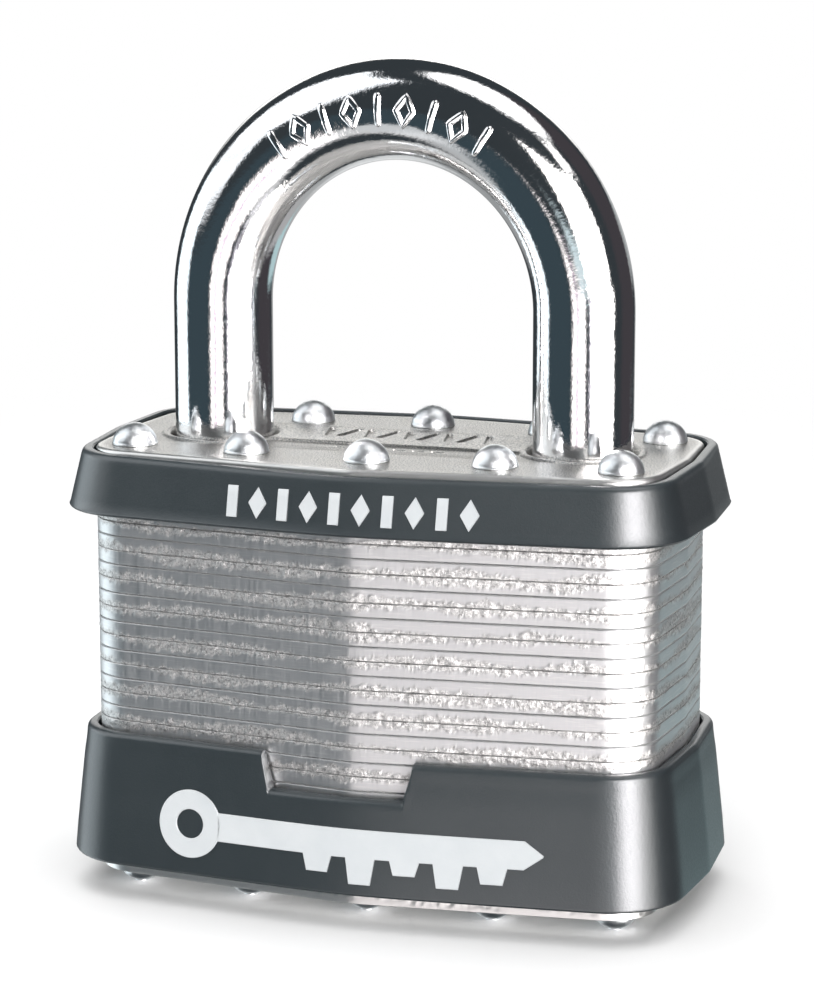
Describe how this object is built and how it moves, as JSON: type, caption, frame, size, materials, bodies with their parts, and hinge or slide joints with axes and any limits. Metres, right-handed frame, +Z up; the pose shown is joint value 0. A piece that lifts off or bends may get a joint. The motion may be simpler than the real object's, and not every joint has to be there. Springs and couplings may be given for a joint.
{
  "type": "padlock",
  "caption": "Laminated steel padlock with a lifting chromed shackle, riveted plates, two plastic bumpers and a pin-tumbler lock inside.",
  "frame": {"origin": "centre of the object's box at its bottom, on the tips of the lower rivet heads", "axes": "+Z up along the shackle's legs, +X towards the heel leg that stays in the body, -Y towards the front with the notch in the lower bumper"},
  "size_m": [0.0558, 0.0322, 0.0716],
  "materials": {
    "end_plate_zinc": "satin grainy",
    "plate_steel": "sheared edge",
    "bumper_plastic": "satin",
    "rivet_steel": "bright plated",
    "shackle_chrome": "polished",
    "spring_steel": "satin",
    "lever_steel": "stamped",
    "brass": "machined",
    "shell_zinc": "die cast"
  },
  "bodies": {
    "lock_body": {"top_plate": "end_plate_zinc", "plates_02_to_04": "plate_steel", "plate_05": "plate_steel", "plate_06": "plate_steel", "plate_07": "plate_steel", "plate_08": "plate_steel", "plate_09": "plate_steel", "plate_10": "plate_steel", "plate_11": "plate_steel", "plate_12": "plate_steel", "plate_13": "plate_steel", "plate_14": "plate_steel", "plate_15": "plate_steel", "plate_16": "plate_steel", "plate_17": "plate_steel", "plate_18": "plate_steel", "plate_19": "plate_steel", "plate_20": "plate_steel", "plate_21": "plate_steel", "plate_22": "plate_steel", "plate_23": "plate_steel", "plates_24_to_28": "plate_steel", "plate_29": "plate_steel", "bottom_plate": "end_plate_zinc", "upper_bumper": "bumper_plastic", "lower_bumper": "bumper_plastic", "rivet_front_1": "rivet_steel", "rivet_front_2": "rivet_steel", "rivet_front_3": "rivet_steel", "rivet_front_4": "rivet_steel", "rivet_front_5": "rivet_steel", "rivet_back_1": "rivet_steel", "rivet_back_2": "rivet_steel", "rivet_back_3": "rivet_steel", "rivet_back_4": "rivet_steel", "rivet_back_5": "rivet_steel", "lever_pivot_pin_left": "lever_steel", "lever_pivot_pin_right": "lever_steel", "lever_spring": "spring_steel", "cylinder_shell": "shell_zinc", "pin_spring_1": "spring_steel", "pin_spring_2": "spring_steel", "pin_spring_3": "spring_steel", "pin_spring_4": "spring_steel", "pin_cover": "brass"},
    "shackle": {"shackle": "shackle_chrome", "shackle_spring": "spring_steel"},
    "plug": {"plug": "brass", "cam": "lever_steel", "plug_clip": "spring_steel"},
    "lever_left": {"lever_left": "lever_steel"},
    "lever_right": {"lever_right": "lever_steel"},
    "key_pin_1": {"key_pin_1": "brass"},
    "driver_pin_1": {"driver_pin_1": "brass"},
    "key_pin_2": {"key_pin_2": "brass"},
    "driver_pin_2": {"driver_pin_2": "brass"},
    "key_pin_3": {"key_pin_3": "brass"},
    "driver_pin_3": {"driver_pin_3": "brass"},
    "key_pin_4": {"key_pin_4": "brass"},
    "driver_pin_4": {"driver_pin_4": "brass"}
  },
  "joints": [
    {"name": "shackle_lift", "type": "slide", "parent": "lock_body", "child": "shackle", "axis": [0, 0, 1], "range_m": [0, 0.0127], "deforming": ["shackle_spring"]},
    {"name": "plug_turn", "type": "hinge", "parent": "lock_body", "child": "plug", "pos_m": [0, 0, 0.01885], "axis": [0, 0, 1], "range_deg": [-90, 0]},
    {"name": "lever_left_swing", "type": "hinge", "parent": "lock_body", "child": "lever_left", "pos_m": [-0.0075, -0.0039, 0.03265], "axis": [0, 0, 1], "range_deg": [0, 14], "deforming": ["lever_spring"]},
    {"name": "lever_right_swing", "type": "hinge", "parent": "lock_body", "child": "lever_right", "pos_m": [0.0075, -0.0039, 0.03265], "axis": [0, 0, 1], "range_deg": [-14, 0]},
    {"name": "key_pin_1_slide", "type": "slide", "parent": "plug", "child": "key_pin_1", "axis": [0, 1, 0], "range_m": [0, 0.0012]},
    {"name": "key_pin_2_slide", "type": "slide", "parent": "plug", "child": "key_pin_2", "axis": [0, 1, 0], "range_m": [0, 0.0008]},
    {"name": "key_pin_3_slide", "type": "slide", "parent": "plug", "child": "key_pin_3", "axis": [0, 1, 0], "range_m": [0, 0.0014]},
    {"name": "key_pin_4_slide", "type": "slide", "parent": "plug", "child": "key_pin_4", "axis": [0, 1, 0], "range_m": [0, 0.001]},
    {"name": "driver_pin_1_slide", "type": "slide", "parent": "lock_body", "child": "driver_pin_1", "axis": [-1, 0, 0], "range_m": [0, 0.0014], "deforming": ["pin_spring_1"]},
    {"name": "driver_pin_2_slide", "type": "slide", "parent": "lock_body", "child": "driver_pin_2", "axis": [-1, 0, 0], "range_m": [0, 0.0014], "deforming": ["pin_spring_2"]},
    {"name": "driver_pin_3_slide", "type": "slide", "parent": "lock_body", "child": "driver_pin_3", "axis": [-1, 0, 0], "range_m": [0, 0.0014], "deforming": ["pin_spring_3"]},
    {"name": "driver_pin_4_slide", "type": "slide", "parent": "lock_body", "child": "driver_pin_4", "axis": [-1, 0, 0], "range_m": [0, 0.0014], "deforming": ["pin_spring_4"]}
  ],
  "couplings": [
    {"joint": "lever_left_swing", "follows": "plug_turn", "ratio": -0.15556},
    {"joint": "lever_right_swing", "follows": "plug_turn", "ratio": 0.15556},
    {"joint": "key_pin_2_slide", "follows": "key_pin_1_slide", "ratio": 0.6666},
    {"joint": "driver_pin_2_slide", "follows": "driver_pin_1_slide", "ratio": 1},
    {"joint": "key_pin_3_slide", "follows": "key_pin_1_slide", "ratio": 1.1665},
    {"joint": "driver_pin_3_slide", "follows": "driver_pin_1_slide", "ratio": 1},
    {"joint": "key_pin_4_slide", "follows": "key_pin_1_slide", "ratio": 0.83325},
    {"joint": "driver_pin_4_slide", "follows": "driver_pin_1_slide", "ratio": 1}
  ]
}
